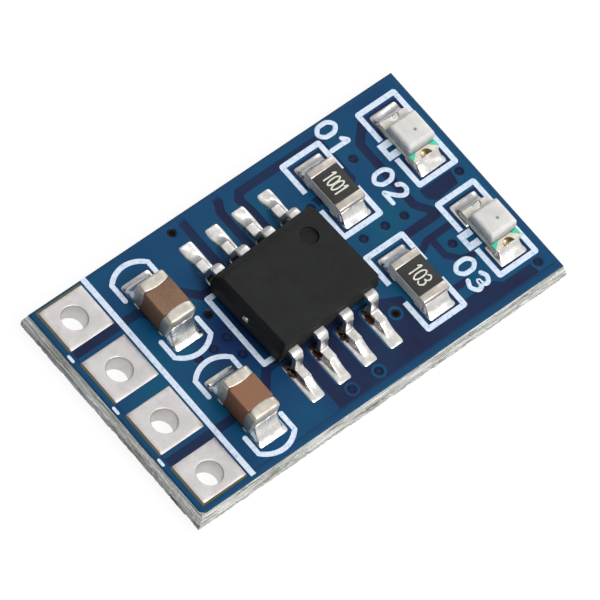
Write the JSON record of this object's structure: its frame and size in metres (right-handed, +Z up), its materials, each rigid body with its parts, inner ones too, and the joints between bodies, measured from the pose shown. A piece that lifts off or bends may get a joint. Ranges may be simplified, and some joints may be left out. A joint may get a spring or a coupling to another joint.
{
  "type": "lithium battery charger module",
  "caption": "Small blue circuit board with a row of wire terminals, an eight-lead charger chip, chip capacitors, resistors and LEDs.",
  "frame": {"origin": "centre of the board's rectangle, on the level of its underside", "axes": "+X along the board from the wire terminals to the LEDs, +Z up from the bare side to the parts, +Y across the board"},
  "size_m": [0.018, 0.0101, 0.0026],
  "materials": {
    "laminate": "sawn and snapped glass-epoxy laminate",
    "copper": "bare copper foil",
    "mask": "glossy blue solder mask",
    "ink": "white screen-printed ink",
    "tin": "satin tinned copper",
    "solder": "bright reflowed solder",
    "moulding": "matt black moulding compound",
    "lead_frame": "satin tin-plated copper alloy",
    "silicon": "polished silicon",
    "gold_wire": "drawn gold wire",
    "capacitor_ceramic": "sintered brown ceramic",
    "capacitor_end": "dull tin-plated end cap",
    "alumina": "white alumina",
    "resistive_film": "fired thick film",
    "glaze": "black overglaze",
    "resistor_end": "dull tin-plated end cap",
    "led_laminate": "white glass-epoxy base",
    "led_end": "plated notch and land",
    "led_chip": "diced crystal",
    "led_resin": "milky moulded epoxy",
    "led_mark": "green printed lacquer"
  },
  "bodies": {
    "root": {"substrate": "laminate", "copper_top": "copper", "copper_bottom": "copper", "solder_mask_top": "mask", "solder_mask_bottom": "mask", "silkscreen": "ink", "vias": "copper", "barrel_1": "tin", "barrel_2": "tin", "barrel_3": "tin", "barrel_4": "tin", "chip_body": "moulding", "chip_paddle": "lead_frame", "chip_die": "silicon", "chip_bond_wires": "gold_wire", "chip_solder": "solder", "chip_lead_1": "lead_frame", "chip_lead_2": "lead_frame", "chip_lead_3": "lead_frame", "chip_lead_4": "lead_frame", "chip_lead_5": "lead_frame", "chip_lead_6": "lead_frame", "chip_lead_7": "lead_frame", "chip_lead_8": "lead_frame", "capacitor_1_body": "capacitor_ceramic", "capacitor_1_end_a": "capacitor_end", "capacitor_1_end_b": "capacitor_end", "capacitor_1_solder": "solder", "capacitor_2_body": "capacitor_ceramic", "capacitor_2_end_a": "capacitor_end", "capacitor_2_end_b": "capacitor_end", "capacitor_2_solder": "solder", "resistor_1_ceramic": "alumina", "resistor_1_film": "resistive_film", "resistor_1_glaze": "glaze", "resistor_1_end_a": "resistor_end", "resistor_1_end_b": "resistor_end", "resistor_1_solder": "solder", "resistor_2_ceramic": "alumina", "resistor_2_film": "resistive_film", "resistor_2_glaze": "glaze", "resistor_2_end_a": "resistor_end", "resistor_2_end_b": "resistor_end", "resistor_2_solder": "solder", "led_1_base": "led_laminate", "led_1_end_a": "led_end", "led_1_end_b": "led_end", "led_1_die": "led_chip", "led_1_wire": "gold_wire", "led_1_lens": "led_resin", "led_1_mark": "led_mark", "led_1_solder": "solder", "led_2_base": "led_laminate", "led_2_end_a": "led_end", "led_2_end_b": "led_end", "led_2_die": "led_chip", "led_2_wire": "gold_wire", "led_2_lens": "led_resin", "led_2_mark": "led_mark", "led_2_solder": "solder"}
  },
  "joints": []
}
